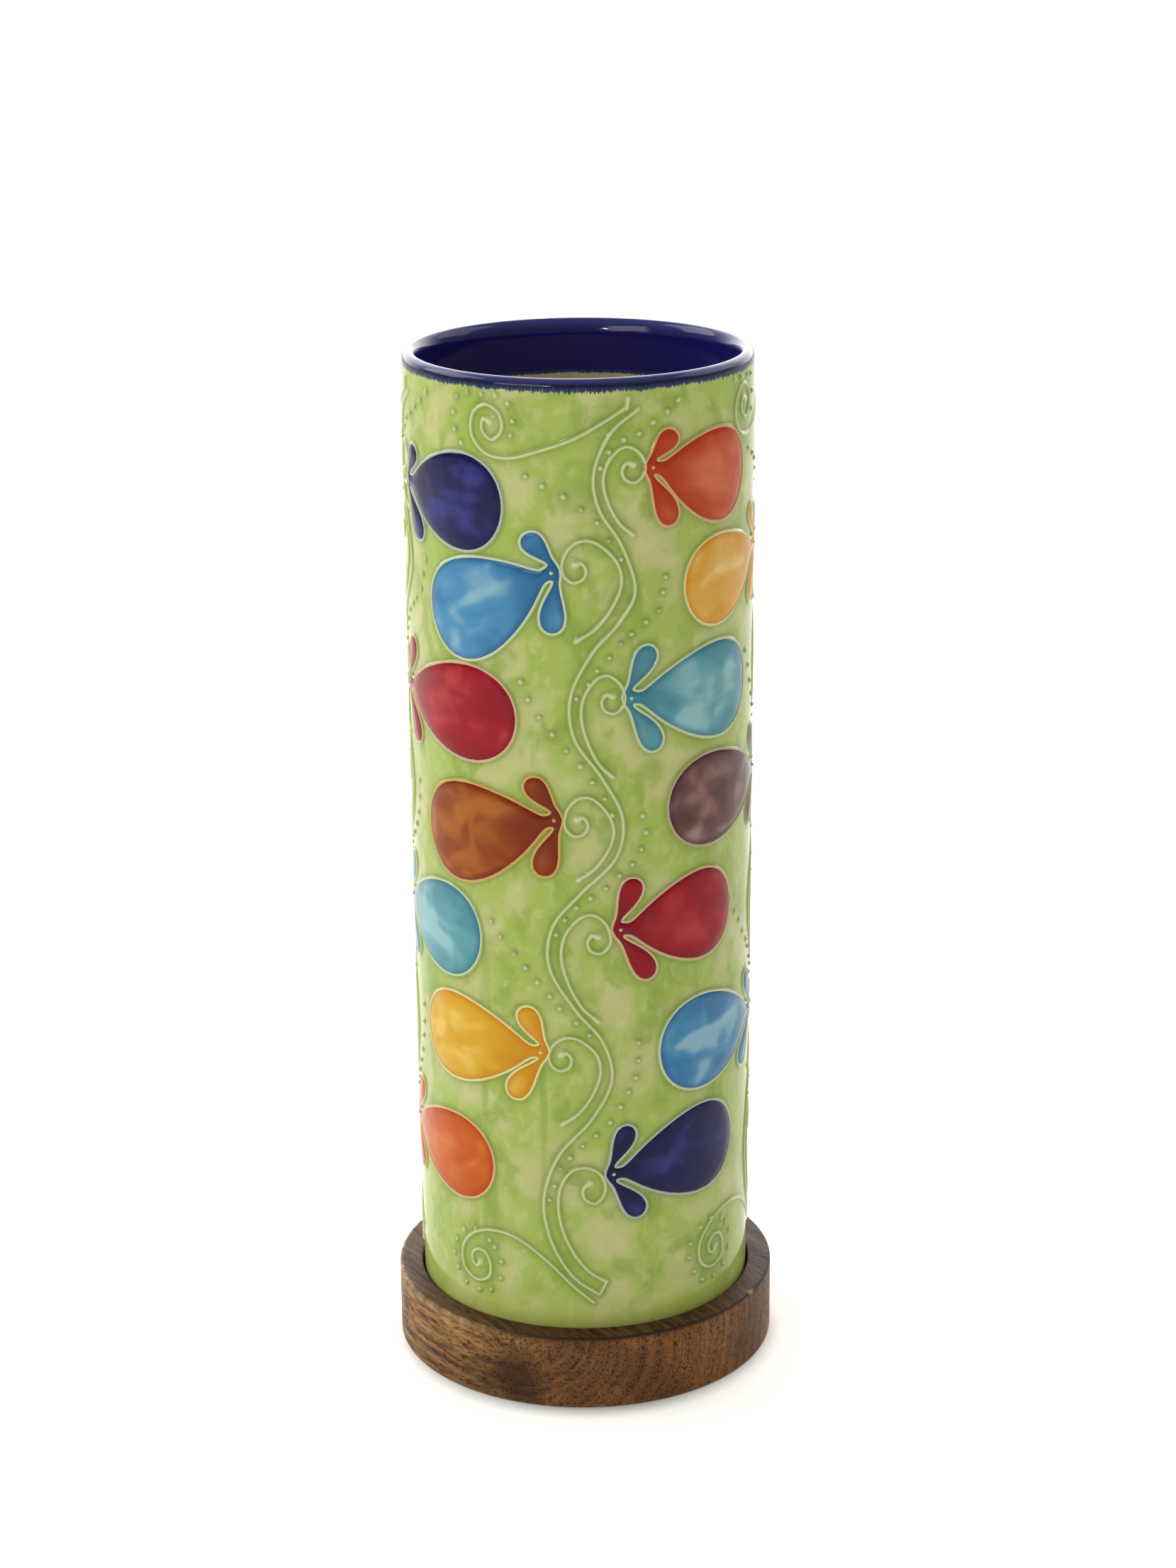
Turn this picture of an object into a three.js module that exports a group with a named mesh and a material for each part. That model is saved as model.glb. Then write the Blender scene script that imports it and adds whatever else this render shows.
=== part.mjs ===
// A tall glazed pottery vase that stands loose in the turned recess of a wooden base.
// Millimetres, +Z up. The origin is the centre of the wooden base's underside, and -Y is the front.
import * as THREE from "three";

// Vase: one thrown and fired wall with a rounded lip and an unglazed foot ring.
const VASE_HEIGHT = 366;
const RIM_RADIUS = 63;
const FOOT_RADIUS = 62.5;
const WALL = 5.8;
const FLOOR_THICKNESS = 8;
const FLOOR_FILLET = 9;
const FOOT_ROUNDING = 1.6;
const FOOT_RING_WIDTH = 8;
const FOOT_HOLLOW = 2.2;

// Wooden base: a turned disc with a blind recess, which leaves a ring of wood round the vase.
const BASE_HEIGHT = 28.6;
const RING_WIDTH = 8.5;
const RECESS_DEPTH = 10;
const TOP_CHAMFER = 0.9;
const BOTTOM_CHAMFER = 0.7;
const RECESS_CHAMFER = 0.6;

// Clearances between the two pieces.
const RECESS_CLEARANCE = 1.1;
const SEAT_GAP = 0.3;

const TURNS = 120; // flats round a full turn
const ARC_STEPS = 8; // straight steps along a quarter round

// The outside of the wall runs straight from above the foot's rounding to below the lip.
const lipRadius = WALL / 2;
const draw = (RIM_RADIUS - FOOT_RADIUS) / (VASE_HEIGHT - lipRadius - FOOT_ROUNDING);
const wallRadiusAt = (height) => FOOT_RADIUS + draw * (height - FOOT_ROUNDING);

const recessRadius = Math.max(FOOT_RADIUS, wallRadiusAt(RECESS_DEPTH)) + RECESS_CLEARANCE;
const recessFloor = BASE_HEIGHT - RECESS_DEPTH;
const baseRadius = recessRadius + RING_WIDTH;

const glaze = new THREE.MeshStandardMaterial({ color: "#9db35c", roughness: 0.18, metalness: 0 });
const walnut = new THREE.MeshStandardMaterial({ color: "#6b4628", roughness: 0.55, metalness: 0 });

// Points [radius, height] on an arc about (r, z), angles in degrees from straight out.
function arc(r, z, radius, from, to) {
  const steps = Math.ceil((Math.abs(to - from) / 90) * ARC_STEPS);
  return Array.from({ length: steps + 1 }, (_, i) => {
    const angle = THREE.MathUtils.degToRad(from + ((to - from) * i) / steps);
    return [r + radius * Math.cos(angle), z + radius * Math.sin(angle)];
  });
}

// A solid of revolution about +Z from [radius, height] points that start and end on the axis.
function turned(name, profile, material) {
  const points = profile.map(([radius, height]) => new THREE.Vector2(radius, height));
  const geometry = new THREE.LatheGeometry(points, TURNS);
  geometry.rotateX(Math.PI / 2);
  const mesh = new THREE.Mesh(geometry, material);
  mesh.name = name;
  return mesh;
}

// The vase, with its foot ring's underside at height 0.
function vase() {
  const ringInner = FOOT_RADIUS - FOOT_RING_WIDTH;
  const filletCentre = FLOOR_THICKNESS + FLOOR_FILLET;
  const insideRadius = wallRadiusAt(filletCentre) - WALL;
  return turned(
    "vase_body",
    [
      [0, FOOT_HOLLOW],
      [ringInner - FOOT_HOLLOW, FOOT_HOLLOW],
      [ringInner, 0],
      ...arc(FOOT_RADIUS - FOOT_ROUNDING, FOOT_ROUNDING, FOOT_ROUNDING, -90, 0),
      ...arc(RIM_RADIUS - lipRadius, VASE_HEIGHT - lipRadius, lipRadius, 0, 180),
      ...arc(insideRadius - FLOOR_FILLET, filletCentre, FLOOR_FILLET, 0, -90),
      [0, FLOOR_THICKNESS],
    ],
    glaze,
  );
}

// The base, with its recess open upwards round the vase's foot.
function woodenBase() {
  return turned(
    "wooden_base",
    [
      [0, 0],
      [baseRadius - BOTTOM_CHAMFER, 0],
      [baseRadius, BOTTOM_CHAMFER],
      [baseRadius, BASE_HEIGHT - TOP_CHAMFER],
      [baseRadius - TOP_CHAMFER, BASE_HEIGHT],
      [recessRadius + RECESS_CHAMFER, BASE_HEIGHT],
      [recessRadius, BASE_HEIGHT - RECESS_CHAMFER],
      [recessRadius, recessFloor],
      [0, recessFloor],
    ],
    walnut,
  );
}

const standingVase = vase();
standingVase.position.z = recessFloor + SEAT_GAP;

const vaseOnBase = new THREE.Group();
vaseOnBase.add(woodenBase(), standingVase);

export default vaseOnBase;
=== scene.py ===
"""A tall glazed pottery vase with slip-trailed vines and flowers, standing on a turned wooden base.

The decoration is worked out in millimetres on the unrolled wall: u runs to the right round the wall from
the front, z runs up from the table, and lift stands out of the wall. wrapped() lays it round the vase.
"""
import math
from functools import partial

import bpy
import numpy as np
from mathutils import Euler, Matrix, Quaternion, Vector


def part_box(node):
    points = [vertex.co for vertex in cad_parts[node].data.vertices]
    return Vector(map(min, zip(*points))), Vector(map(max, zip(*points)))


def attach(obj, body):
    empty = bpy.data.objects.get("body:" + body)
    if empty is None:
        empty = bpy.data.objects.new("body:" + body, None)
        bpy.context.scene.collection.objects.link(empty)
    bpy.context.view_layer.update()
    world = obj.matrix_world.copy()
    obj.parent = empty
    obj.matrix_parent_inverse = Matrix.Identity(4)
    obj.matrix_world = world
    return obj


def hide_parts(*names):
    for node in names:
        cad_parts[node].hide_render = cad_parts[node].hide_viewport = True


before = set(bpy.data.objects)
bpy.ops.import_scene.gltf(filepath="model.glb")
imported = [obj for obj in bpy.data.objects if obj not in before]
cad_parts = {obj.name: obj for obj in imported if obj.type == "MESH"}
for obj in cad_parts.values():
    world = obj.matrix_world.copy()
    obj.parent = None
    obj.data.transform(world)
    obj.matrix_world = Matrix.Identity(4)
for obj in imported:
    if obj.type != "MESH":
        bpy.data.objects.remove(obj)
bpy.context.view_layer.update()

rng = np.random.default_rng(7)

# ---- sizes, in millimetres

MM = 0.001
vase_low, vase_high = (np.array(corner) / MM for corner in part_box("vase_body"))
base_low, base_high = (np.array(corner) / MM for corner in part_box("wooden_base"))
FOOT_Z = vase_low[2]
RIM_Z = vase_high[2]
RIM_RADIUS = vase_high[0]
FOOT_RADIUS = RIM_RADIUS - 0.5
BASE_RADIUS = base_high[0]
BASE_TOP = base_high[2]
WALL = 5.8
LIP = WALL / 2
LIP_EASE = 6.5  # how far down the inside the lip is rounded
FLOOR_THICKNESS = 8.0
FLOOR_FILLET = 9.0
FOOT_ROUNDING = 1.6
FOOT_RING = 8.0
FOOT_HOLLOW = 2.2
RECESS_RADIUS = FOOT_RADIUS + 0.7
RECESS_DEPTH = 10.0

TURN = 2 * math.pi * FOOT_RADIUS  # the unrolled wall's length
VINES = 4
VINE_SPACING = TURN / VINES

SLIP_HALF = 0.62  # half the width of a trailed line
SLIP_RISE = 0.62
OUTLINE_HALF = 0.62
OUTLINE_RISE = 0.62
SKIRT = 3.0  # how far the glaze that gathers along a line reaches
SUNK = 0.45  # how deep a raised body reaches into the wall
STEP = 0.5  # spacing of the points along a line
SWELL_LENGTH = 2.3  # how far from its end a line is swollen
DROP_SIZES = (0.78, 0.7), (1.02, 0.95)  # radius and rise of the smallest and the largest dot
EYE = 0.85, 1.25  # radius and rise of the drop on each flower's neck
BROWNED_SHARE = 0.05  # of the dots

BEHIND_NECK = (-3.3, 0.0)  # where a flower's outline passes behind its neck
SHOULDER = 2.2  # how far from the neck the backs of the leaves start
BAY = 3.2  # how far from the neck the petal and the leaves part
NECK_DISC = 0.2, 3.1, 2.3  # middle, half length and half width of the glaze on the neck
DRAWN_BACK = 2.3, 8.5  # how far a leaf's root is drawn back, and how far along the leaf that fades
LAYER = 0.012  # between glaze bodies where they overlap

DOT_WEIGHT = 4.5  # glaze gathers round a dot as round this many points of a line
POOL_GAIN = 5.4
POOL_SPREADS = (0.72, 0.85), (0.28, 2.6)  # share and blur of the glaze gathered close by and further off

RIM_BAND = 4.3  # cobalt down the outside
HIGHEST_DOT = RIM_Z - RIM_BAND - 2.0
INSIDE_BAND = 20.3  # cobalt down the inside


# ---- the wall

def wall_radius(z):
    """Radius of the wall's outside: a straight draw from foot to rim."""
    return FOOT_RADIUS + (RIM_RADIUS - FOOT_RADIUS) * (z - FOOT_Z) / (RIM_Z - FOOT_Z)


def wrapped(u, z, lift):
    """Metres from unrolled places: turned about the axis by u over the foot radius, lifted off the wall."""
    angle = u / FOOT_RADIUS
    radius = wall_radius(z) + lift
    return np.stack([radius * np.sin(angle), -radius * np.cos(angle), z + 0 * u], -1) * MM


# ---- meshes

def grid_triangles(rows, columns, round_columns, round_rows=False):
    """Two triangles for each cell of a grid of points, which may close on itself either way."""
    i = np.arange(rows if round_rows else rows - 1)[:, None]
    j = np.arange(columns if round_columns else columns - 1)[None, :]
    a = i * columns + j
    b = (i + 1) % rows * columns + j
    c = (i + 1) % rows * columns + (j + 1) % columns
    d = i * columns + (j + 1) % columns
    return np.concatenate([np.stack([a, b, c], -1).reshape(-1, 3), np.stack([a, c, d], -1).reshape(-1, 3)])


def compact(points, triangles, fields):
    """A closed part without the triangles that its poles squash flat and the points that nothing uses."""
    a, b, c = triangles.T
    triangles = triangles[(a != b) & (b != c) & (a != c)]
    used, index = np.unique(triangles, return_inverse=True)
    return {"points": points[used], "triangles": index.reshape(-1, 3),
            "fields": {name: values[used] for name, values in fields.items()}}


def add_piece(name, parts, material, body="vase"):
    """One mesh object from closed parts, each a dict of points, triangles and fields by point."""
    starts = np.cumsum([0] + [len(part["points"]) for part in parts])
    points = np.concatenate([part["points"] for part in parts])
    triangles = np.concatenate([part["triangles"] + start for part, start in zip(parts, starts)])
    mesh = bpy.data.meshes.new(name)
    mesh.vertices.add(len(points))
    mesh.vertices.foreach_set("co", points.astype(np.float32).ravel())
    mesh.loops.add(triangles.size)
    mesh.loops.foreach_set("vertex_index", triangles.astype(np.int32).ravel())
    mesh.polygons.add(len(triangles))
    mesh.polygons.foreach_set("loop_start", np.arange(0, triangles.size, 3, dtype=np.int32))
    mesh.polygons.foreach_set("use_smooth", np.ones(len(triangles), dtype=bool))
    for field in parts[0]["fields"]:
        values = np.concatenate([part["fields"][field] for part in parts]).astype(np.float32)
        if values.ndim == 2:
            mesh.attributes.new(field, "FLOAT_VECTOR", "POINT").data.foreach_set("vector", values.ravel())
        else:
            mesh.attributes.new(field, "FLOAT", "POINT").data.foreach_set("value", values)
    mesh.update(calc_edges=True)
    mesh.materials.append(material)
    piece = bpy.data.objects.new(name, mesh)
    bpy.context.collection.objects.link(piece)
    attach(piece, body)
    return piece


def raised_body(u, z, lift, fields, ring=False):
    """A closed body on the wall from a grid of its upper face, rows along it and columns to its left.

    Each row is closed by two points sunk into the wall, and each end by a fan, unless the rows go round.
    """
    def closed(grid):
        return np.concatenate([grid, grid[:, -1:], grid[:, :1]], 1)

    rows, columns = len(u), u.shape[1] + 2
    lift = np.concatenate([lift, np.full((rows, 2), -SUNK)], 1)
    fields = {name: closed(values).reshape((-1,) + values.shape[2:]) for name, values in fields.items()}
    triangles = grid_triangles(rows, columns, True, ring)
    if not ring:
        k = np.arange(1, columns - 1)
        first = np.stack([0 * k, k, k + 1], -1)
        last = (rows - 1) * columns + np.stack([0 * k, k + 1, k], -1)
        triangles = np.concatenate([triangles, first, last])
    points = wrapped(closed(u), closed(z), lift).reshape(-1, 3)
    return {"points": points, "triangles": triangles, "fields": fields}


# ---- lines on the unrolled wall

def smooth_line(knots, step=STEP):
    """Even points on a Catmull-Rom curve through the knots: cubics whose end slopes are half the chords."""
    k = np.asarray(knots, float)
    k = np.concatenate([[2 * k[0] - k[1]], k, [2 * k[-1] - k[-2]]])
    t = np.linspace(0, 1, 24, endpoint=False)[None, :, None]
    p0, p1, p2, p3 = (k[i:len(k) - 3 + i, None, :] for i in range(4))
    bend, twist = p0 - 2.5 * p1 + 2 * p2 - p3 / 2, 1.5 * (p1 - p2) + (p3 - p0) / 2
    cubic = p1 + t * (p2 - p0) / 2 + t**2 * bend + t**3 * twist
    return evenly(np.concatenate([cubic.reshape(-1, 2), k[-2:-1]]), step)


def evenly(points, step):
    """The same line with its points step apart."""
    along = np.concatenate([[0], np.cumsum(np.hypot(*np.diff(points, axis=0).T))])
    s = np.linspace(0, along[-1], max(2, int(round(along[-1] / step)) + 1))
    return np.stack([np.interp(s, along, points[:, 0]), np.interp(s, along, points[:, 1])], -1)


def left_of(points, closed):
    """Unit vectors to the left of a line at each of its points."""
    if closed:
        ahead = np.roll(points, -1, 0) - np.roll(points, 1, 0)
    else:
        ahead = np.gradient(points, axis=0)
    ahead = ahead / np.maximum(np.hypot(*ahead.T), 1e-9)[:, None]
    return np.stack([-ahead[:, 1], ahead[:, 0]], -1)


def slip_rise(distance, half, rise):
    """Height of trailed slip under glaze: a rounded bead, and a faint swell of gathered glaze beside it."""
    bead = rise * np.exp(-((distance / half) ** 2) * 1.1)
    return bead + 0.07 * np.exp(-((distance / 1.4) ** 2)) - 0.04


def slip_cover(distance, half):
    """How far the pale slip shows: 1 on the bead, 0 beside it."""
    return np.exp(-((distance / (0.9 * half)) ** 3))


def trailed_line(points, half=SLIP_HALF, rise=SLIP_RISE, blunt=(1.4, 1.4)):
    """A bead of slip along an open line, with rounded ends swollen where the nozzle stopped."""
    past = np.arange(STEP, SKIRT + STEP, STEP)[:, None]
    first = points[0] - points[1]
    last = points[-1] - points[-2]
    before = points[0] + first / np.hypot(*first) * past[::-1]
    after = points[-1] + last / np.hypot(*last) * past
    line = np.concatenate([before, points, after])
    along = (np.arange(len(line)) - len(before)) * STEP
    beyond = np.maximum(0, np.maximum(-along, along - (len(points) - 1) * STEP))[:, None]
    from_ends = np.minimum(np.abs(along), np.abs(along - (len(points) - 1) * STEP))[:, None]
    nearer_first = (along < len(points) * STEP / 2)[:, None]
    swell = 1 + (np.where(nearer_first, *blunt) - 1) * np.exp(-((from_ends / SWELL_LENGTH) ** 2))
    across = np.array([-3, -2.2, -1.5, -1, -0.7, -0.45, -0.22, 0, 0.22, 0.45, 0.7, 1, 1.5, 2.2, 3])[None, :]
    left = left_of(line, False)
    u = line[:, :1] + left[:, :1] * across
    z = line[:, 1:] + left[:, 1:] * across
    distance = np.hypot(across, beyond)
    lift = slip_rise(distance / swell, half, rise * swell**0.6)
    return raised_body(u, z, lift, wall_fields(u, z, slip_cover(distance / swell, half)))


def slip_dot(u0, z0, radius, rise):
    """A drop of slip: a dome on a round skirt, on rings about its middle, closed by a point in the wall."""
    rings = np.array([0.0, 0.25, 0.5, 0.72, 0.9, 1.1, 1.4, 1.9, 2.6, 3.4])[:, None]
    angle = np.linspace(0, 2 * math.pi, 20, endpoint=False)[None, :]
    distance = rings * radius + 0 * angle
    u = u0 + distance * np.cos(angle)
    z = z0 + distance * np.sin(angle)
    lift = rise * np.exp(-((distance / radius) ** 2.6)) + 0.06 * np.exp(-((distance / 1.4) ** 2)) - 0.04
    fields = {}
    for name, values in wall_fields(u, z, slip_cover(distance, radius)).items():
        values = values.reshape((-1,) + values.shape[2:])
        fields[name] = np.concatenate([values, values[:1]])
    inside = wrapped(np.array([u0]), np.array([z0]), np.array([-SUNK]))
    points = np.concatenate([wrapped(u, z, lift).reshape(-1, 3), inside])
    count = angle.size
    rim = np.arange(count) + (len(rings) - 1) * count
    under = np.stack([np.full(count, len(points) - 1), np.roll(rim, -1), rim], -1)
    triangles = np.concatenate([grid_triangles(len(rings), count, True), under])
    return compact(points, np.where(triangles < count, 0, triangles), fields)


# ---- gathered glaze

CELL = 0.5
pool_columns = int(round(TURN / CELL))
pool_rows = int(round((RIM_Z + 15) / CELL))
laid_slip = np.zeros((pool_rows, pool_columns))


def mark_slip(points, weight=1.0):
    """Notes slip on a raster of the unrolled wall, in millimetres of line per square millimetre."""
    column = np.round(points[:, 0] / CELL).astype(int) % pool_columns
    row = np.clip(np.round(points[:, 1] / CELL).astype(int), 0, pool_rows - 1)
    np.add.at(laid_slip, (row, column), weight * STEP / CELL**2)


def spread(sigma):
    """The noted slip blurred by a Gaussian, as a product with its transform."""
    fu = np.fft.fftfreq(pool_columns, CELL)[None, :]
    fz = np.fft.fftfreq(pool_rows, CELL)[:, None]
    kernel = np.exp(-2 * (math.pi * sigma) ** 2 * (fu**2 + fz**2))
    return np.real(np.fft.ifft2(np.fft.fft2(laid_slip) * kernel))


def pool_at(u, z):
    """How deep glaze has gathered at places on the wall, 0 to 1, between the raster's cells."""
    x = (u / CELL) % pool_columns
    y = np.clip(z / CELL, 0, pool_rows - 1.001)
    i, j = np.floor(y).astype(int), np.floor(x).astype(int) % pool_columns
    fy, fx = y - np.floor(y), x - np.floor(x)
    k = (j + 1) % pool_columns
    low = pool[i, j] * (1 - fx) + pool[i, k] * fx
    high = pool[i + 1, j] * (1 - fx) + pool[i + 1, k] * fx
    return low * (1 - fy) + high * fy


CREAM = np.array([0.47, 0.50, 0.25])
BROWNED = np.array([0.45, 0.33, 0.19])
slip_colour = CREAM


def wall_fields(u, z, slip):
    """The fields that the wall's glaze reads: gathered glaze, slip, and the slip's colour."""
    return {"pool": pool_at(u, z), "slip": slip + 0 * u, "inward": 0 * u, "bare": 0 * u,
            "slip_colour": np.broadcast_to(slip_colour, u.shape + (3,))}


# ---- flowers

def petal(length, half, belly, root):
    """Edge of a petal from its root to its tip: along it sin^2(h), its half width sin^2belly(h) cos(h), a
    quarter narrower towards the root, with a stalk that fades out of it in 5 mm."""
    h = np.linspace(0, math.pi / 2, 90)
    x = length * np.sin(h) ** 2
    width = np.sin(h) ** (2 * belly) * np.cos(h) * (1 - 0.25 * np.exp(-((x / 7) ** 2)))
    return x, np.hypot(half * width / width.max(), root * np.exp(-((x / 5) ** 2)))


def turned_to(x, y, angle):
    """Points turned by an angle in degrees."""
    a = math.radians(angle)
    return np.stack([x * math.cos(a) - y * math.sin(a), x * math.sin(a) + y * math.cos(a)], -1)


def rounded(points, sigma):
    """A closed line with its corners rounded by a Gaussian along it."""
    frequency = np.fft.fftfreq(len(points), STEP)[:, None]
    kernel = np.exp(-2 * (math.pi * sigma * frequency) ** 2)
    return np.real(np.fft.ifft(np.fft.fft(points, axis=0) * kernel, axis=0))


def leaf_places(x, y, angle):
    """Points of a leaf in its flower's frame: turned, and its root drawn back behind the neck."""
    leaf = turned_to(x, y, angle)
    back, fade = DRAWN_BACK
    leaf[..., 0] -= back * np.exp(-((x / fade) ** 2))
    return leaf


def there_and_back(x, y, start, end):
    """Round a lobe: along one side from start to its tip, and along the other back to end."""
    i, j = np.searchsorted(x, (start, end))
    return np.concatenate([x[i:], x[j:-1][::-1]]), np.concatenate([y[i:], -y[j:-1][::-1]])


class Flower:
    """A large petal and two small leaves that meet at a neck. side is 1 where the petal points right."""

    def __init__(self, colour, side, neck, length, half, turn, upper, lower):
        self.colour, self.side, self.neck = colour, side, np.array(neck, float)
        self.lobes = [(0.0, *petal(length, half, 1.0, 1.6)),
                      (upper[0], *petal(upper[1], upper[2] + 0.3, 1.4, 1.6)),
                      (lower[0], *petal(lower[1], lower[2] + 0.3, 1.4, 1.6))]
        self.turn = turn
        self.outline = self.edge()

    def place(self, local):
        """Places on the wall of points in the flower's own frame."""
        turned = turned_to(local[..., 0], local[..., 1], self.turn)
        return self.neck + turned * np.array([self.side, 1])

    def edge(self):
        """The outline, clockwise: behind the neck, round one leaf, the petal, and the other leaf."""
        (_, *sides), (upper, *upper_sides), (lower, *lower_sides) = self.lobes
        local = np.concatenate([
            [BEHIND_NECK],
            leaf_places(*there_and_back(*upper_sides, SHOULDER, BAY), upper),
            np.stack(there_and_back(*sides, BAY, BAY), -1),
            leaf_places(*there_and_back(*lower_sides, BAY, SHOULDER), lower),
            [BEHIND_NECK],
        ])
        line = rounded(evenly(self.place(local), STEP)[:-1], 0.65)
        line = evenly(np.concatenate([line, line[:1]]), STEP)[:-1]
        return line if self.side > 0 else line[::-1]

    def outline_body(self):
        """The raised outline. Its skirt outside is drawn in where the line curls round it."""
        line = self.outline
        left = left_of(line, True)
        bend = np.roll(left, -1, 0) - np.roll(left, 1, 0)
        ahead = np.stack([left[:, 1], -left[:, 0]], -1)
        curl = np.sum(bend * ahead, 1) / (2 * STEP)
        reach = np.minimum(SKIRT, 0.8 / np.maximum(-curl, 1e-3))
        spread_out = np.concatenate([reach[-8:], reach, reach[:8]])
        reach = np.min([np.roll(spread_out, k)[8:-8] for k in range(-4, 5)], 0)
        share = np.array([0.0, 0.075, 0.15, 0.235, 0.33, 0.5, 0.72, 1.0])[None, :]
        outside = np.maximum(share * reach[:, None], share * 0.8)
        across = np.concatenate([np.tile([-0.75, -0.55, -0.38, -0.2], (len(line), 1)), outside], 1)
        u = line[:, :1] + left[:, :1] * across
        z = line[:, 1:] + left[:, 1:] * across
        lift = slip_rise(np.abs(across), OUTLINE_HALF, OUTLINE_RISE)
        slip = slip_cover(np.abs(across), 0.92 * OUTLINE_HALF)
        return raised_body(u, z, lift, wall_fields(u, z, slip), ring=True)

    def glaze_bodies(self):
        """The glaze inside the outline: a strip for each lobe, swelling inwards to a dome, and the neck."""
        bodies = []
        for sunk, (angle, x, y) in zip((0.0, LAYER, LAYER), self.lobes):
            rows = np.interp(np.linspace(0, 1, 70), np.linspace(0, 1, len(x)), x)
            half = np.interp(rows, x, y)
            rows, half = rows[1:-1], half[1:-1]
            across = np.linspace(-1, 1, 33 if angle == 0 else 15)[None, :]
            spread_along, spread_across = rows[:, None] + 0 * across, half[:, None] * across
            if angle == 0:
                local = np.stack([spread_along, spread_across], -1)
            else:
                local = leaf_places(spread_along, spread_across, angle)
            bodies.append(self.glaze_body(local, sunk, angle))
        h = np.linspace(-1.45, 1.45, 12)[:, None]
        across = np.linspace(-1, 1, 11)[None, :]
        middle, half_length, half_width = NECK_DISC
        disc = middle + half_length * np.sin(h) + 0 * across, half_width * np.cos(h) * across
        bodies.append(self.glaze_body(np.stack(disc, -1), -LAYER, 0.0))
        return bodies

    def glaze_body(self, local, sunk, angle):
        """A dome of glaze on a grid of places: its height grows with the distance from the outline."""
        places = self.place(local)
        if self.side < 0:
            places, local = places[:, ::-1], local[:, ::-1]
        u, z = places[..., 0], places[..., 1]
        distance = np.empty(u.shape)
        for row in range(len(u)):
            gap = places[row][:, None, :] - self.outline[None, ::2, :]
            distance[row] = np.sqrt((gap**2).sum(-1).min(1))
        lift = 0.12 + 0.85 * (1 - np.exp(-distance / 1.9)) - sunk
        along = turned_to(local[..., 0], local[..., 1], -angle)
        brush = np.stack([along[..., 0], along[..., 1], np.full(u.shape, self.neck[1] + angle)], -1) * MM
        fields = {"edge": distance, "neck": np.hypot(local[..., 0], local[..., 1]), "brush": brush}
        return raised_body(u, z, lift, fields)


# ---- the drawing: one vine's share of the wall

STEM = [(20.5, 374.3), (11, 366.5), (5.1, 353), (6.8, 340), (14.5, 327), (19.3, 311), (14, 300), (4, 288.7),
        (-3.4, 273.5), (-2.3, 258), (7, 243.7), (14.5, 228), (12, 213), (-0.5, 200.2), (-10.5, 187.5),
        (-12, 172), (-3, 156), (7, 143), (10.2, 128), (3, 113), (-9, 98.5), (-14.9, 81), (-12.8, 64.5),
        (-5, 50), (5.3, 41.8)]
TRUNK_END = (7.9, 46.9)
TOP_CURL = [(16.3, 375), (8, 370), (-2, 364.5), (-13, 360.5), (-24, 357.3), (-33, 358.2), (-38.6, 364),
            (-38.2, 371.5), (-33, 375.2), (-27.8, 372.5), (-26.8, 367), (-30.5, 363.2), (-34.3, 366),
            (-34, 370), (-31, 369.3)]
FOOT_CURL = [(3.3, 38.5), (-4.5, 45.5), (-14, 55), (-24, 62), (-34, 64), (-44, 61), (-50.7, 53.5),
             (-50.5, 45), (-44.5, 41.3), (-38.6, 43.6), (-37.3, 48.4), (-39, 53), (-42.6, 54.3),
             (-45.7, 52), (-46, 48.8), (-43.8, 47), (-41.8, 49.3)]
# Flowers: side, neck, length, half width and turn, then angle, length and half width of the upper and the
# lower leaf.
FLOWERS = [
    (1, (25.8, 353.5), 46.2, 16.8, -12, (67, 15.0, 3.9), (-58, 22.5, 4.3)),
    (-1, (-9.7, 317.7), 55.2, 18.2, -26, (82, 16.5, 4.1), (-64, 22.0, 4.4)),
    (1, (17.7, 272.0), 56.7, 17.8, -3.6, (72, 20.0, 4.1), (-60, 22.5, 4.3)),
    (-1, (-9.7, 227.7), 56.8, 18.8, -13.8, (73, 17.8, 4.1), (-64, 22.0, 4.5)),
    (1, (13.6, 186.0), 50.0, 17.2, 0.8, (73, 20.0, 4.2), (-60, 23.2, 4.3)),
    (-1, (-15.5, 138.7), 55.3, 17.0, -0.9, (71, 18.2, 4.1), (-58, 22.4, 4.4)),
    (1, (10.7, 90.5), 55.3, 17.6, 5.6, (67, 20.0, 3.9), (-65, 21.0, 4.2)),
]
# Tendrils: side, the curl's middle, how far the loop swings out, how high it goes, how long its tail hangs.
TENDRILS = [
    (1, (18.5, 353.0), 10.2, 8.3, 22.5),
    (-1, (-1.5, 318.5), 15.9, 10.5, 25.2),
    (1, (11.0, 271.0), 10.8, 9.6, 27.5),
    (-1, (-1.5, 226.0), 12.8, 10.2, 20.7),
    (1, (5.5, 181.5), 13.1, 10.5, 30.5),
    (-1, (-8.0, 136.0), 14.1, 8.7, 25.5),
]
# The stem's second line, from its foot up to the curl beside the lowest flower.
TRUNK = [(7.9, 46.9), (0.5, 52.5), (-6, 62.5), (-9.4, 74), (-9, 84.5), (-5, 91.7), (1, 93.4), (6.2, 90.2),
         (7.6, 84), (4.4, 79.2), (0.3, 80.8), (-0.5, 84.8), (2.2, 87.6)]
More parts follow.
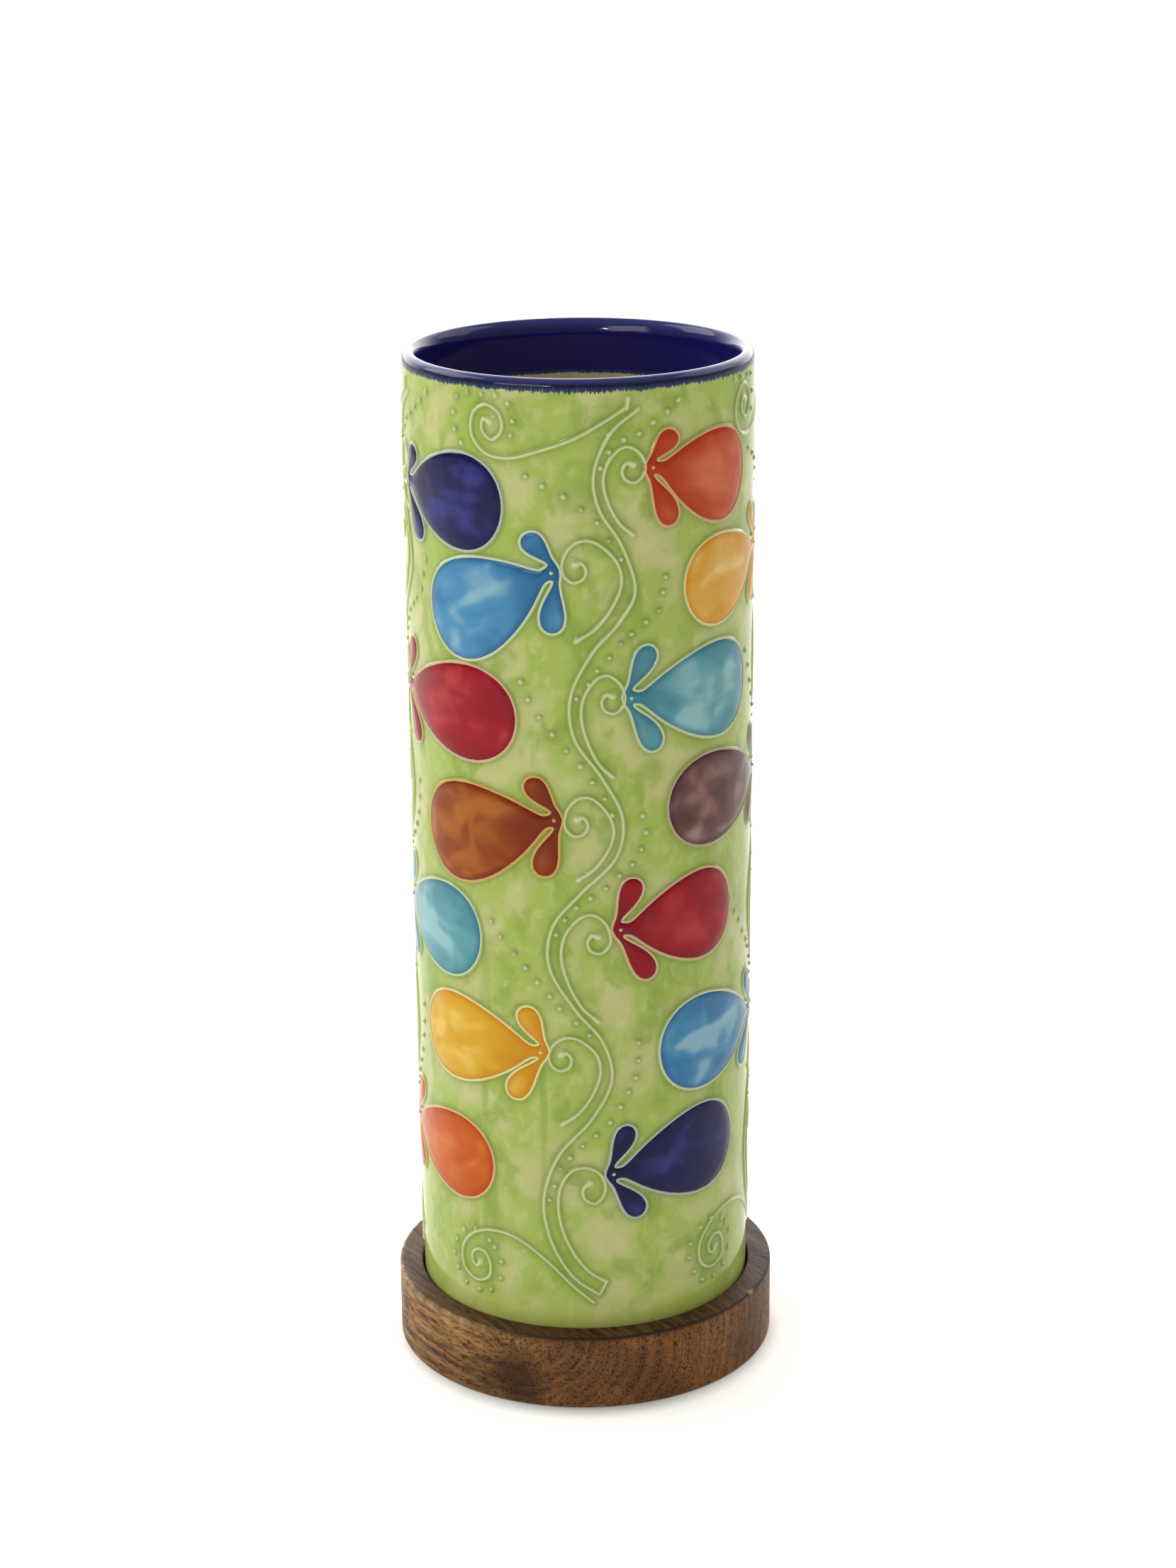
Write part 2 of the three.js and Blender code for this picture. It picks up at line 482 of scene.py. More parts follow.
# Rows of dots: how many, and the line that they follow.
DOT_ROWS = [
    (7, [(36, 376), (24.3, 368), (13.2, 362), (7.3, 354.7)]),
    (7, [(-19, 351), (-6, 345), (6.2, 334.5), (14.5, 322)]),
    (10, [(31.2, 314.5), (27.5, 302.5), (18, 294.7), (8, 285.3), (-1.3, 272.5)]),
    (9, [(-21, 278), (-14.7, 265.5), (-0.7, 248), (7.5, 237), (11.5, 229.5)]),
    (10, [(22.3, 228), (21.6, 215.6), (13.7, 206.5), (-2, 194.5), (-9.5, 184.5)]),
    (9, [(-34, 186.8), (-22, 172.7), (-8, 155.8), (2.3, 146)]),
    (12, [(20.6, 141), (19, 126.7), (8.9, 110.7), (-6.2, 96.5), (-13, 79.7)]),
]
# Rings of dots: middle, radius, how many, first angle and step between them in degrees.
DOT_RINGS = [((-34.5, 369), 12.2, 10, -18, 27), ((-44.3, 49.3), 12.1, 12, 40, -31)]

# The four vines: name, colours of the flowers from the top, how some flowers differ (u, z, turn, length and
# half width), how far to the right the top curl stands, and how many dots it has.
NEIGHBOURS = [
    ("front", ["orange_red", "blue", "teal", "amber", "red", "yellow", "cobalt"], {}, 0.0, 10),
    ("right", ["teal", "honey", "amber", "plum", "cobalt", "blue", "orange_red"],
     {1: (-1.0, -2.0, 15, -6.2, -2.0), 3: (1.6, 3.8, 12.5, 2.6, -1.4), 5: (4, -2.2, 1.5, 2.2, 1.5)},
     8.0, 6),
    ("back", ["red", "orange", "cobalt", "teal", "orange_red", "honey", "plum"],
     {0: (-6, -11, 9, 3, 0.3), 2: (-3.2, -7, 1.6, 3, 0), 4: (-5, -5, -3, 2, 0.4),
      6: (-2, 3, -8, -1, -1)}, 8.0, 6),
    ("left", ["cobalt", "amber", "red", "yellow", "teal", "blue", "orange"],
     {0: (-6.6, -12, 9.4, 5, 0.7), 1: (0.5, 1, 1, -1, -0.5), 2: (-3.5, -8, 1.6, 4, 0),
      4: (-6, -6, -3.5, 3, 0.6), 6: (-2.4, 3.3, -10, -1, -1)}, 0.0, 10),
]


def tendril(side, middle, swing, top, tail):
    """A tail that climbs beside the stem, swings out, and curls in round the middle."""
    shape = [(0.0, -tail), (-0.44 * swing, -0.82 * tail), (-0.8 * swing, -0.53 * tail),
             (-swing, -0.2 * tail), (-0.9 * swing, 0.25 * top), (-0.5 * swing, 0.88 * top),
             (-0.12 * swing, top), (2.7, 0.68 * top), (4.6, 0.18 * top), (3.8, -1.9), (0.8, -4.2),
             (-2.6, -3.0), (-3.7, 0.2), (-2.1, 2.7), (0.3, 2.1)]
    return [(middle[0] + side * x, middle[1] + y) for x, y in shape]


def vine(index):
    """The lines, dots and flowers of one vine, with the small unevenness of hand work except in front."""
    name, colours, shifts, curl_shift, curl_dots = NEIGHBOURS[index]
    uneven = 0.0 if index == 0 else 1.0
    centre = (index if index < 3 else -1) * VINE_SPACING

    def moved(points):
        p = np.asarray(points, float)
        sway = uneven * 1.1 * np.sin(p[:, 1] / 41 + 2.1 * index)
        drop = uneven * 1.3 * np.sin(p[:, 1] / 63 + 1.3 * index)
        return p + np.stack([centre + sway, drop], -1)

    follow_curl = np.minimum(1, np.linspace(0, 2.2, len(TOP_CURL)))[:, None]
    lines = [(smooth_line(moved(STEM)), (1.2, 1.0)),
             (evenly(moved([STEM[-1], TRUNK_END]), STEP), (1.0, 1.0)),
             (smooth_line(moved(TOP_CURL) + follow_curl * (curl_shift, 0)), (1.2, 2.1)),
             (smooth_line(moved(FOOT_CURL)), (1.1, 2.1)),
             (evenly(moved([(16.4, 374.8), (17.0, 378.2)]), STEP), (1.4, 1.4))]
    flowers = []
    curls = [tendril(*spec) for spec in TENDRILS] + [TRUNK]
    for k, (spec, curl) in enumerate(zip(FLOWERS, curls)):
        side, neck, length, half, turn, upper, lower = spec
        du, dz, dturn, dlength, dhalf = shifts.get(k, uneven * rng.normal(0, (1.2, 1.6, 2.0, 1.2, 0.4)))
        neck = moved([neck])[0] + (du, dz)
        flowers.append(Flower(colours[k], side, neck, length + dlength, half + dhalf, turn + dturn,
                              upper, lower))
        follow = np.linspace(0.0, 1, len(curl))[:, None] ** 0.7
        lines.append((smooth_line(moved(curl) + follow * (du, dz)), (1.5, 2.2)))
    dots = []
    for count, row in DOT_ROWS:
        line = smooth_line(moved(row))
        picks = line[np.linspace(0, len(line) - 1, count).astype(int)]
        dots.extend(picks + rng.normal(0, 0.35, picks.shape))
    for (middle, radius, count, first, step), shift in zip(DOT_RINGS, (curl_shift, 0.0)):
        angle = np.radians(first + step * np.arange(min(count, curl_dots) if shift else count))
        ring = np.array(middle) + (shift, 0) + radius * np.stack([np.cos(angle), np.sin(angle)], -1)
        dots.extend(moved(ring) + rng.normal(0, 0.4, ring.shape))
    dots = [np.minimum(dot, (np.inf, HIGHEST_DOT)) for dot in dots]
    return name, lines, flowers, dots


# ---- materials

def linear(code):
    """Linear red, green, blue and alpha from an sRGB hex code."""
    values = [int(code[i:i + 2], 16) / 255 for i in (1, 3, 5)]
    return (*(v / 12.92 if v <= 0.04045 else ((v + 0.055) / 1.055) ** 2.4 for v in values), 1.0)


def node(tree, kind, settings=None, inputs=None, out=0):
    """Adds a node with its settings and gives one of its outputs. Inputs are by name or number, each a
    value or another node's output."""
    made = tree.nodes.new("ShaderNode" + kind)
    for key, value in (settings or {}).items():
        setattr(made, key, value)
    for key, value in (inputs or {}).items():
        if isinstance(value, bpy.types.NodeSocket):
            tree.links.new(value, made.inputs[key])
        else:
            made.inputs[key].default_value = value
    return made.outputs[out] if made.outputs else None


def new_material(name):
    """An empty material, and node() for its tree."""
    material = bpy.data.materials.new(name)
    material.use_nodes = True
    material.node_tree.nodes.clear()
    return material, partial(node, material.node_tree)


MIX = {"data_type": "RGBA", "clamp_factor": True}
CLAMPED = {"operation": "MULTIPLY", "use_clamp": True}
MULTIPLY_ADD = {"operation": "MULTIPLY_ADD"}
SMOOTH = {"interpolation_type": "SMOOTHSTEP"}


def pottery_glaze():
    """Glossy earthenware glaze brushed over pale clay: translucent mottled green that gathers dark beside
    the slip, dipped cobalt at the rim, bare buff clay inside and under the foot."""
    material, add = new_material("mottled_green_pottery_glaze")
    place = add("TexCoord", out="Object")
    height = add("SeparateXYZ", inputs={0: place}, out="Z")

    # Clouds of about 22 mm, blots of 13 mm and flecks of 5 mm, where the glaze was brushed thick and thin.
    clouds = add("TexNoise", inputs={"Vector": place, "Scale": 46, "Detail": 2.5, "Roughness": 0.45,
            "Distortion": 0.35})
    cloud = add("MapRange", SMOOTH, {0: clouds, 1: 0.43, 2: 0.62})
    shifted = add("Mapping", inputs={"Vector": place, "Location": (0.37, 0.11, 0.53), "Scale": (1, 1, 0.8)})
    blots = add("TexNoise", inputs={"Vector": shifted, "Scale": 78, "Detail": 2.5, "Roughness": 0.45,
            "Distortion": 0.5})
    blot = add("MapRange", SMOOTH, {0: blots, 1: 0.5, 2: 0.66})
    flecks = add("TexNoise", inputs={"Vector": shifted, "Scale": 190, "Detail": 2, "Distortion": 0.3})
    fleck = add("MapRange", SMOOTH, {0: flecks, 1: 0.52, 2: 0.66})
    # A few thick green runs about 4 mm wide on the lower half.
    trickled = add("Mapping", inputs={"Vector": place, "Location": (0.21, 0.43, 0.07),
            "Scale": (1, 1, 0.12)})
    trickles = add("TexNoise", inputs={"Vector": trickled, "Scale": 95, "Detail": 1.5, "Distortion": 0.3})
    trickle = add("MapRange", SMOOTH, {0: trickles, 1: 0.58, 2: 0.68})
    low = add("MapRange", SMOOTH, {0: height, 1: 0.24, 2: 0.1})
    thin = add("Mix", MIX, {0: cloud, 6: linear("#92A34A"), 7: linear("#A8AA6E")}, 2)
    blot_amount = add("Math", CLAMPED, {0: blot, 1: 0.7})
    brushed = add("Mix", MIX, {0: blot_amount, 6: thin, 7: linear("#7B9236")}, 2)
    fleck_amount = add("Math", CLAMPED, {0: fleck, 1: 0.28})
    flecked = add("Mix", MIX, {0: fleck_amount, 6: brushed, 7: linear("#B6B684")}, 2)
    trickle_low = add("Math", CLAMPED, {0: trickle, 1: low})
    trickle_amount = add("Math", CLAMPED, {0: trickle_low, 1: 0.6})
    trickly = add("Mix", MIX, {0: trickle_amount, 6: flecked, 7: linear("#768E34")}, 2)
    # The glaze runs pale and yellow at the foot.
    foot_pool = add("MapRange", SMOOTH, {0: height, 1: 0.044, 2: 0.026, 3: 0, 4: 0.55})
    footed = add("Mix", MIX, {0: foot_pool, 6: trickly, 7: linear("#AAB05A")}, 2)

    pool_field = add("Attribute", {"attribute_name": "pool"}, out="Fac")
    pool_amount = add("Math", CLAMPED, {0: pool_field, 1: 0.85})
    gathered = add("Mix", MIX, {0: pool_amount, 6: footed, 7: linear("#607A22")}, 2)
    slip = add("Attribute", {"attribute_name": "slip"}, out="Fac")
    slip_shade = add("Attribute", {"attribute_name": "slip_colour"}, out="Color")
    trailed = add("Mix", MIX, {0: slip, 6: gathered, 7: slip_shade}, 2)

    # Iron specks, about 0.7 mm across and a few centimetres apart.
    cells = add("TexVoronoi", inputs={"Vector": place, "Scale": 75}, out="Distance")
    near = add("Math", {"operation": "LESS_THAN"}, {0: cells, 1: 0.028})
    picked = add("SeparateColor", inputs={0: cells.node.outputs["Color"]})
    few = add("Math", {"operation": "GREATER_THAN"}, {0: picked, 1: 0.82})
    speck = add("Math", CLAMPED, {0: near, 1: few})
    speckled = add("Mix", MIX, {0: speck, 6: trailed, 7: linear("#6A4A22")}, 2)

    # The dipped cobalt ends in a feathered edge: teeth of 0.7 mm over a slow wander of 9 mm.
    inward = add("Attribute", {"attribute_name": "inward"}, out="Fac")
    combed = add("Mapping", inputs={"Vector": place, "Scale": (1, 1, 0.35)})
    teeth = add("TexNoise", inputs={"Vector": combed, "Scale": 1400, "Detail": 1})
    wander = add("TexNoise", inputs={"Vector": combed, "Scale": 110, "Detail": 1})
    ragged = add("Math", MULTIPLY_ADD, {0: wander, 1: 0.55, 2: teeth})
    depth = add("Math", {"operation": "SUBTRACT"}, {0: RIM_Z * MM, 1: height})
    band = add("MapRange", inputs={0: inward, 1: 0, 2: 1, 3: RIM_BAND * MM, 4: INSIDE_BAND * MM})
    over = add("Math", {"operation": "SUBTRACT"}, {0: band, 1: depth})
    tooth = add("Math", MULTIPLY_ADD, {0: ragged, 1: 0.0026, 2: -0.002})
    calmer = add("MapRange", inputs={0: inward, 1: 0, 2: 1, 3: 1, 4: 0.4})
    edge = add("Math", MULTIPLY_ADD, {0: tooth, 1: calmer, 2: over})
    dipped = add("MapRange", SMOOTH, {0: edge, 1: -0.0004, 2: 0.0004})
    cobalt_thin = add("MapRange", SMOOTH, {0: edge, 1: 0.0, 2: 0.002})
    cobalt_full = add("Mix", MIX, {0: inward, 6: linear("#110E2E"), 7: linear("#171350")}, 2)
    # Over the lip it is lighter, partly where the glaze breaks thin and partly as a painted sheen; the band
    # reaches further down the inside.
    lip_sheen_depth = add("MapRange", inputs={0: inward, 1: 0, 2: 1, 3: 0.0024, 4: 0.0042})
    lip_sheen = add("MapRange", SMOOTH, {0: depth, 1: lip_sheen_depth, 2: 0.0004, 3: 0, 4: 0.8})
    cobalt_lip_sheen = add("Mix", MIX, {0: lip_sheen, 6: cobalt_full, 7: linear("#343A70")}, 2)
    cobalt = add("Mix", MIX, {0: cobalt_thin, 6: linear("#1E3658"), 7: cobalt_lip_sheen}, 2)

    bare_field = add("Attribute", {"attribute_name": "bare"}, out="Fac")
    clay_amount = add("Math", {"operation": "MAXIMUM", "use_clamp": True}, {0: inward, 1: bare_field})
    grain = add("TexNoise", inputs={"Vector": place, "Scale": 420, "Detail": 5})
    clay = add("Mix", MIX, {0: grain, 6: linear("#9C8767"), 7: linear("#B9A684")}, 2)
    clayed = add("Mix", MIX, {0: clay_amount, 6: speckled, 7: clay}, 2)
    colour = add("Mix", MIX, {0: dipped, 6: clayed, 7: cobalt}, 2)

    dry = add("Math", {"operation": "SUBTRACT", "use_clamp": True}, {0: clay_amount, 1: dipped})
    roughness = add("MapRange", inputs={0: dry, 1: 0, 2: 1, 3: 0.1, 4: 0.8})
    # The glaze isn't quite flat: swells of 15 mm and a faint orange peel of 2 mm.
    swells = add("TexNoise", inputs={"Vector": place, "Scale": 65, "Detail": 1})
    peel = add("TexNoise", inputs={"Vector": place, "Scale": 520, "Detail": 1})
    uneven = add("Math", MULTIPLY_ADD, {0: peel, 1: 0.06, 2: swells})
    bump = add("Bump", inputs={"Strength": 0.35, "Distance": 0.0008, "Height": uneven})
    shader = add("BsdfPrincipled", inputs={"Base Color": colour, "Roughness": roughness, "IOR": 1.5,
            "Specular IOR Level": 0.22, "Normal": bump})
    add("OutputMaterial", inputs={"Surface": shader})
    return material


# Glazes of the flowers: thick at the edge and neck, the body, where the brush left it thin, and the slip
# round it, which takes a little of the glaze.
GLAZES = {
    "cobalt": ("#0E0A30", "#121042", "#3A3A86", "#A0A6A4"),
    "blue": ("#1A4F7C", "#3F7BA0", "#9CBCBE", "#B4BE9E"),
    "red": ("#6E0314", "#8A0618", "#B03C38", "#BC9C7C"),
    "amber": ("#641A00", "#7C3402", "#AC6622", "#BE9050"),
    "teal": ("#2A6577", "#528A92", "#98BCBC", "#AEBC98"),
    "yellow": ("#B47206", "#BE921A", "#DCC468", "#CEC484"),
    "honey": ("#B8760E", "#C2943A", "#DCC68E", "#C8BC7E"),
    "orange": ("#A03404", "#B04E0E", "#CC7A32", "#C8A474"),
    "orange_red": ("#942608", "#AC461C", "#C07048", "#BE9064"),
    "plum": ("#2C1215", "#5C3C38", "#B08C84", "#A48E74"),
}


def flower_glaze(name):
    """Coloured glaze flooded inside the slip line: brushed streaks, dark where it gathers, wet gloss."""
    thick, body, thin, _ = (linear(code) for code in GLAZES[name])
    material, add = new_material(name + "_flooded_glaze")
    place = add("TexCoord", out="Object")
    brush = add("Attribute", {"attribute_name": "brush"}, out="Vector")
    edge = add("Attribute", {"attribute_name": "edge"}, out="Fac")
    # Brush marks 10 mm apart that run along the petal, and the glaze thinner in the petal's middle.
    along = add("Mapping", inputs={"Vector": brush, "Scale": (0.4, 1, 1)})
    marks = add("TexNoise", inputs={"Vector": along, "Scale": 95, "Detail": 1.5, "Roughness": 0.4,
            "Distortion": 0.6})
    clouds = add("TexNoise", inputs={"Vector": place, "Scale": 62, "Detail": 1, "Distortion": 0.8})
    both = add("Math", {"operation": "ADD"}, {0: marks, 1: clouds})
    middle = add("MapRange", SMOOTH, {0: edge, 1: 3, 2: 13})
    washed_out = add("Math", MULTIPLY_ADD, {0: middle, 1: 0.14, 2: both})
    light = add("MapRange", SMOOTH, {0: washed_out, 1: 1.02, 2: 1.38})
    dark = add("MapRange", SMOOTH, {0: washed_out, 1: 1.05, 2: 0.78})
    light_amount = add("Math", CLAMPED, {0: light, 1: 0.52})
    dark_amount = add("Math", CLAMPED, {0: dark, 1: 0.45})
    thinned = add("Mix", MIX, {0: light_amount, 6: body, 7: thin}, 2)
    washed = add("Mix", MIX, {0: dark_amount, 6: thinned, 7: thick}, 2)
    rim = add("MapRange", SMOOTH, {0: edge, 1: 3.4, 2: 0.3})
    neck_field = add("Attribute", {"attribute_name": "neck"}, out="Fac")
    neck = add("MapRange", SMOOTH, {0: neck_field, 1: 24, 2: 3})
    rim_amount = add("Math", CLAMPED, {0: rim, 1: 0.75})
    neck_amount = add("Math", CLAMPED, {0: neck, 1: 0.75})
    rimmed = add("Mix", MIX, {0: rim_amount, 6: washed, 7: thick}, 2)
    colour = add("Mix", MIX, {0: neck_amount, 6: rimmed, 7: thick}, 2)
    swells = add("TexNoise", inputs={"Vector": place, "Scale": 110, "Detail": 1.5})
    bump = add("Bump", inputs={"Strength": 0.4, "Distance": 0.0008, "Height": swells})
    shader = add("BsdfPrincipled", inputs={"Base Color": colour, "Roughness": 0.07, "IOR": 1.5,
            "Specular IOR Level": 0.16, "Normal": bump})
    add("OutputMaterial", inputs={"Surface": shader})
    return material


GRAIN_TURN = -56.0  # the fibres run from the back left to the front right, degrees from +X


def oiled_hardwood():
    """Turned and oiled dark hardwood: growth rings cut as bands, pores as short dashes along the fibres. The
    side is golden where the fibres lie along it, redder where they end in it, and the top is painted darker
    as shade."""
    material, add = new_material("oiled_dark_hardwood")
    place = add("TexCoord", out="Object")
    along_fibres = add("Mapping", inputs={"Vector": place, "Rotation": (0, 0, math.radians(-GRAIN_TURN))})
    # Slow wander of the rings, long along the fibres.
    eased = add("Mapping", inputs={"Vector": along_fibres, "Scale": (0.3, 1, 1)})
    wander = add("TexNoise", inputs={"Vector": eased, "Scale": 26, "Detail": 2}, out="Color")
    drift_place = add("VectorMath", MULTIPLY_ADD, {0: wander, 1: (0.014, 0.014, 0.014), 2: place})
    drift = add("VectorMath", MULTIPLY_ADD, {0: wander, 1: (0.0, 0.012, 0.012), 2: along_fibres})
    # Irregular rings about 3 mm apart round a heart on the left, just above the base.
    from_heart = add("Mapping", inputs={"Vector": drift, "Location": (0, 0.056, -0.034),
            "Scale": (0.0, 1, 1)})
    radius = add("VectorMath", {"operation": "LENGTH"}, {0: from_heart}, "Value")
    rings = add("TexNoise", {"noise_dimensions": "1D"}, {"W": radius, "Scale": 330, "Detail": 2,
            "Roughness": 0.6})
    ring = add("MapRange", SMOOTH, {0: rings, 1: 0.3, 2: 0.7})
    streaks_frame = add("Mapping", inputs={"Vector": drift, "Scale": (0.05, 1, 1)})
    streaks = add("TexNoise", inputs={"Vector": streaks_frame, "Scale": 340, "Detail": 4,
            "Roughness": 0.65})
    streak = add("MapRange", SMOOTH, {0: streaks, 1: 0.35, 2: 0.68})
    patches = add("TexNoise", inputs={"Vector": eased, "Scale": 30, "Detail": 2})
    patch = add("MapRange", SMOOTH, {0: patches, 1: 0.42, 2: 0.66})
    fibre = (math.cos(math.radians(GRAIN_TURN)), math.sin(math.radians(GRAIN_TURN)), 0)
    facing = add("NewGeometry", out="Normal")
    end_on = add("VectorMath", {"operation": "DOT_PRODUCT"}, {0: facing, 1: fibre}, "Value")
    end_grain = add("MapRange", SMOOTH, {0: add("Math", {"operation": "ABSOLUTE"}, {0: end_on}), 1: 0.3,
            2: 0.95})
    # Long streaks on the face grain, fine and faint where the fibres are cut across.
    long_streak = add("MapRange", inputs={0: end_grain, 1: 0, 2: 1, 3: 1.0, 4: 0.35})
    streaked = add("Math", {"operation": "MULTIPLY"}, {0: streak, 1: long_streak})
    figure = add("Math", MULTIPLY_ADD, {0: ring, 1: 0.6, 2: streaked})
    tone = add("MapRange", inputs={0: figure, 1: 0.05, 2: 1.45})
    # Painted shade: the upward faces take darker copies of the wood's colours.
    up = add("SeparateXYZ", inputs={0: facing}, out="Z")
    top_shade_amount = add("MapRange", SMOOTH, {0: up, 1: 0.5, 2: 0.95})
    side_wood = add("Mix", MIX, {0: tone, 6: linear("#A2753F"), 7: linear("#3E2512")}, 2)
    end_wood = add("Mix", MIX, {0: tone, 6: linear("#84562B"), 7: linear("#452A14")}, 2)
    top_wood_painted_shade = add("Mix", MIX, {0: tone, 6: linear("#6A4A2A"), 7: linear("#32241A")}, 2)
    turned_wood = add("Mix", MIX, {0: end_grain, 6: side_wood, 7: end_wood}, 2)
    wood = add("Mix", MIX, {0: top_shade_amount, 6: turned_wood, 7: top_wood_painted_shade}, 2)
    patch_amount = add("Math", CLAMPED, {0: patch, 1: 0.55})
    patched = add("Mix", MIX, {0: patch_amount, 6: wood, 7: linear("#3A2315")}, 2)
    # A dark burr low on the left of the front, 25 mm across.
    from_burr = add("VectorMath", {"operation": "DISTANCE"}, {0: drift_place, 1: (-0.0165, -0.061, 0.015)},
            "Value")
    burr = add("MapRange", SMOOTH, {0: from_burr, 1: 0.017, 2: 0.003, 3: 0, 4: 0.8})
    burred = add("Mix", MIX, {0: burr, 6: patched, 7: linear("#2A170B")}, 2)
    # Pores: dashes about 0.4 mm across and 3 mm long, thickest in the dark of each ring.
    pore_frame = add("Mapping", inputs={"Vector": along_fibres, "Scale": (0.13, 1, 1)})
    pores = add("TexNoise", inputs={"Vector": pore_frame, "Scale": 1250, "Detail": 1})
    pore = add("MapRange", SMOOTH, {0: pores, 1: 0.53, 2: 0.61})
    crowded = add("MapRange", inputs={0: ring, 1: 0, 2: 1, 3: 0.4, 4: 0.95})
    pore_amount = add("Math", CLAMPED, {0: pore, 1: crowded})
    pored = add("Mix", MIX, {0: pore_amount, 6: burred, 7: linear("#24140A")}, 2)
    # Worn arrises, a darker top arris round the front, and painted shade in the recess where the vase's foot
    # stands.
    worn = add("Attribute", {"attribute_name": "worn"}, out="Fac")
    patchy = add("MapRange", inputs={0: streaks, 1: 0.4, 2: 0.6, 3: 1.0, 4: 0.45})
    worn_amount = add("Math", CLAMPED, {0: worn, 1: patchy})
    dark_edge = add("Attribute", {"attribute_name": "dark_edge"}, out="Fac")
    edged = add("Mix", MIX, {0: dark_edge, 6: pored, 7: linear("#24170F")}, 2)
    colour = add("Mix", MIX, {0: worn_amount, 6: edged, 7: linear("#C0A078")}, 2)
    dips = add("Math", MULTIPLY_ADD, {0: pore, 1: -1.0, 2: streaks})
    bump = add("Bump", inputs={"Strength": 0.5, "Distance": 0.0002, "Height": dips})
    gloss = add("MapRange", inputs={0: streaks, 1: 0.3, 2: 0.7, 3: 0.42, 4: 0.55})
    shader = add("BsdfPrincipled", inputs={"Base Color": colour, "Roughness": gloss, "IOR": 1.47,
            "Specular IOR Level": 0.14, "Normal": bump})
    add("OutputMaterial", inputs={"Surface": shader})
    return material


# ---- vase wall and wooden base

def arc(r, z, radius, start, end, steps):
    """Points on a round corner about (r, z), angles in degrees from straight out."""
    a = np.radians(np.linspace(start, end, steps))
    return np.stack([r + radius * np.cos(a), z + radius * np.sin(a)], -1)


def lathed(profile, columns):
    """A profile turned about the axis: points, triangles with one point at a pole, angles and heights."""
    angle = np.linspace(0, 2 * math.pi, columns, endpoint=False)[None, :]
    r, z = profile[:, :1], profile[:, 1:]
    points = np.stack([r * np.sin(angle), -r * np.cos(angle), z + 0 * angle], -1).reshape(-1, 3)
    triangles = grid_triangles(len(profile), columns, True)[:, ::-1]
    triangles = np.where(triangles < columns, 0, np.minimum(triangles, (len(profile) - 1) * columns))
    return points, triangles, angle + 0 * z, z + 0 * angle


def vase_wall():
    """The thrown body: up the outside, over the lip, down the inside to the floor."""
    ring_inner = FOOT_RADIUS - FOOT_RING
    fillet_z = FOOT_Z + FLOOR_THICKNESS + FLOOR_FILLET
    inside = wall_radius(fillet_z) - WALL
    outer_z = np.linspace(FOOT_Z + FOOT_ROUNDING, RIM_Z - LIP, 250)[1:-1]
    inner_z = np.linspace(RIM_Z - LIP_EASE, fillet_z, 20)[1:-1]
    ease = np.radians(np.linspace(0, 90, 17))[1:]
    eased = np.stack([RIM_RADIUS - LIP - LIP * np.sin(ease), RIM_Z - LIP_EASE * (1 - np.cos(ease))], -1)
    hollow_z = FOOT_Z + FOOT_HOLLOW
    under = [[0, hollow_z], [ring_inner - FOOT_HOLLOW, hollow_z], [ring_inner, FOOT_Z],
             [FOOT_RADIUS - FOOT_ROUNDING - 2, FOOT_Z]]
    profile = np.concatenate([
        under,
        arc(FOOT_RADIUS - FOOT_ROUNDING, FOOT_Z + FOOT_ROUNDING, FOOT_ROUNDING, -90, 0, 5),
        np.stack([wall_radius(outer_z), outer_z], -1),
        arc(RIM_RADIUS - LIP, RIM_Z - LIP, LIP, 0, 90, 10),
        eased,
        np.stack([wall_radius(inner_z) - WALL, inner_z], -1),
        arc(inside - FLOOR_FILLET, fillet_z, FLOOR_FILLET, 0, -90, 7),
        [[0, FOOT_Z + FLOOR_THICKNESS]],
    ])
    points, triangles, angle, z = lathed(profile, 320)
    lip_top = len(under) + 5 + len(outer_z) + 9
    row = np.arange(len(profile))[:, None] + 0 * angle
    pool_field = np.where(row < lip_top, pool_at(angle * FOOT_RADIUS, z), 0)
    fields = {"pool": pool_field.ravel(), "slip": 0 * angle.ravel(),
              "inward": (row >= lip_top).ravel() * 1.0, "bare": (row < len(under) + 2).ravel() * 1.0}
    return compact(points * MM, triangles, fields)


